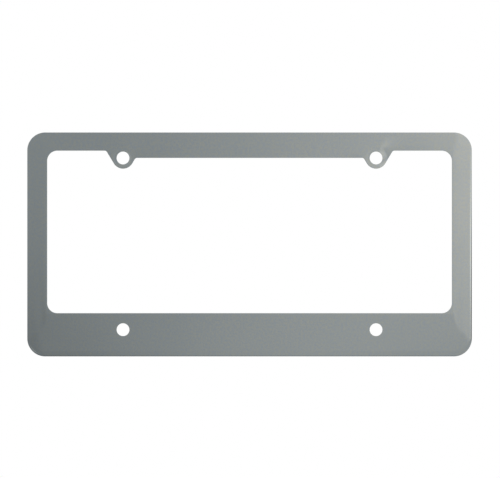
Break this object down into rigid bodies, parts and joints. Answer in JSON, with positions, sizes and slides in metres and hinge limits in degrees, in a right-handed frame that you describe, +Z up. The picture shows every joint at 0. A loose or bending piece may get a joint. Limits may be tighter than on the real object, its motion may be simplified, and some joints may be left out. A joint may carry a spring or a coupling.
{
  "type": "number plate frame",
  "caption": "Chromed pressed-steel frame that clips over a number plate's edge, with a window, a wide lower rail and screw holes that share the plate's own bolts.",
  "frame": {"origin": "centre of the four screw holes, midway through the sheet at the holes", "axes": "+X along the frame's length, +Z up as it is fixed to a car, -Y towards the viewer in front of the car's plate"},
  "size_m": [0.313, 0.0056, 0.1578],
  "materials": {
    "plating": "bright plating over polished steel, fine polishing lines"
  },
  "bodies": {
    "root": {"plate_frame": "plating"}
  },
  "joints": []
}
